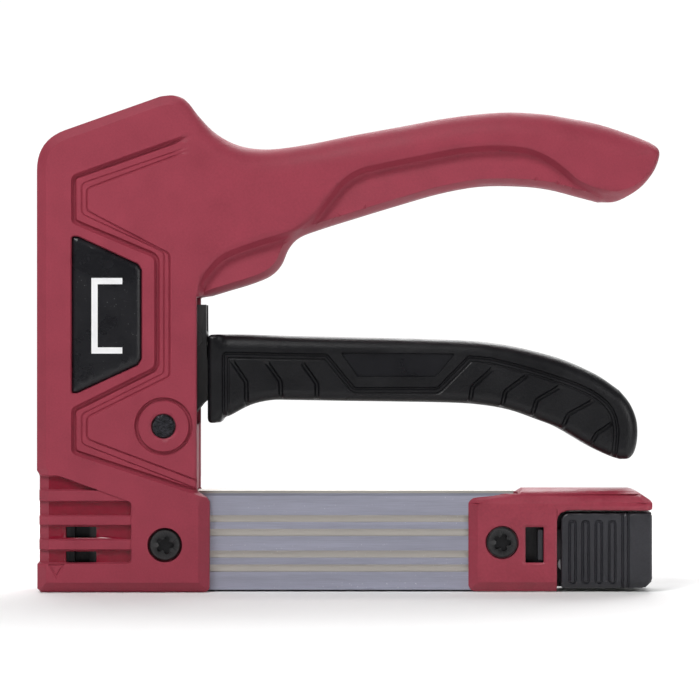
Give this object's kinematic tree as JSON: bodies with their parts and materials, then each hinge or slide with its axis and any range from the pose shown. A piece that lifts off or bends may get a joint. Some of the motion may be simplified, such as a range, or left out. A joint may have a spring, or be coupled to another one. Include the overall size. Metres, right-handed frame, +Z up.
{
  "type": "staple gun",
  "caption": "Hand-squeeze staple gun with a moulded red housing, black lever grip, sprung hammer and a rear-loading aluminium staple magazine.",
  "frame": {"origin": "centre of the bounding box's bottom face, on the flat the tool stands on", "axes": "+X from the nose to the tail, +Z up, +Y across the tool; the parting plane of the housing is Y = 0"},
  "size_m": [0.1903, 0.0304, 0.1515],
  "materials": {
    "housing_red": "fine moulded texture",
    "cap_red": "fine moulded texture",
    "black_plastic": "satin moulded",
    "badge_black": "gloss with fine grain",
    "blackened_steel": "black oxide",
    "aluminium_extrusion": "satin anodised",
    "spring_steel": "bright drawn wire",
    "zinc_steel": "zinc plated",
    "bumper_rubber": "moulded rubber",
    "nylon": "natural nylon"
  },
  "bodies": {
    "housing": {"housing_left": "housing_red", "housing_right": "housing_red", "housing_screws": "blackened_steel", "badge_left": "badge_black", "badge_right": "badge_black", "pivot_pin": "blackened_steel", "pivot_washers": "nylon", "rocker_pin": "zinc_steel", "rocker_spacers": "nylon", "nose_block": "blackened_steel", "nose_plate": "zinc_steel", "bumper": "bumper_rubber", "spring_seat": "zinc_steel", "magazine_channel": "aluminium_extrusion", "foot_screws": "blackened_steel", "tail_cap": "cap_red", "tail_screws": "blackened_steel"},
    "lever": {"lever_frame": "blackened_steel", "lever_grip": "black_plastic", "grip_screw": "blackened_steel", "roller_pin": "zinc_steel", "lever_return_spring": "spring_steel"},
    "roller": {"lever_roller": "zinc_steel"},
    "rocker": {"rocker": "blackened_steel"},
    "hammer": {"hammer": "blackened_steel", "driver_blade": "zinc_steel", "driver_rivets": "zinc_steel", "drive_spring": "spring_steel"},
    "core": {"staple_rail": "zinc_steel", "latch_body": "black_plastic", "rail_rivets": "zinc_steel", "pusher_rod": "spring_steel", "rod_stop": "zinc_steel", "pusher_spring": "spring_steel"},
    "pusher": {"pusher": "zinc_steel"},
    "latch_left": {"latch_arm_left": "black_plastic"},
    "latch_right": {"latch_arm_right": "black_plastic"}
  },
  "joints": [
    {"name": "lever_squeeze", "type": "hinge", "parent": "housing", "child": "lever", "pos_m": [-0.0567, 0, 0.0505], "axis": [0, -1, 0], "range_deg": [0, 20], "stiffness_Nm_per_rad": 2, "springref_deg": -8.59},
    {"name": "roller_spin", "type": "hinge", "parent": "lever", "child": "roller", "pos_m": [-0.0476, 0, 0.0774], "axis": [0, 1, 0], "continuous": true},
    {"name": "rocker_swing", "type": "hinge", "parent": "housing", "child": "rocker", "pos_m": [-0.054, 0, 0.094], "axis": [0, 1, 0], "range_deg": [0, 36]},
    {"name": "hammer_lift", "type": "slide", "parent": "housing", "child": "hammer", "axis": [0, 0, 1], "range_m": [0, 0.0139], "deforming": ["drive_spring"]},
    {"name": "magazine_draw", "type": "slide", "parent": "housing", "child": "core", "axis": [1, 0, 0], "range_m": [0, 0.15]},
    {"name": "pusher_travel", "type": "slide", "parent": "core", "child": "pusher", "axis": [1, 0, 0], "range_m": [0, 0.095], "stiffness_N_per_m": 20, "springref_m": -0.02, "deforming": ["pusher_spring"]},
    {"name": "latch_left_squeeze", "type": "hinge", "parent": "core", "child": "latch_left", "pos_m": [0.084, -0.01, 0.012], "axis": [0, 0, -1], "range_deg": [0, 4], "stiffness_Nm_per_rad": 0.5, "springref_deg": -2.86},
    {"name": "latch_right_squeeze", "type": "hinge", "parent": "core", "child": "latch_right", "pos_m": [0.084, 0.01, 0.012], "axis": [0, 0, 1], "range_deg": [0, 4], "stiffness_Nm_per_rad": 0.5, "springref_deg": -2.86}
  ],
  "couplings": [
    {"joint": "rocker_swing", "follows": "lever_squeeze", "ratio": 1.8},
    {"joint": "hammer_lift", "follows": "lever_squeeze", "m_per_rad": 0.03982}
  ]
}
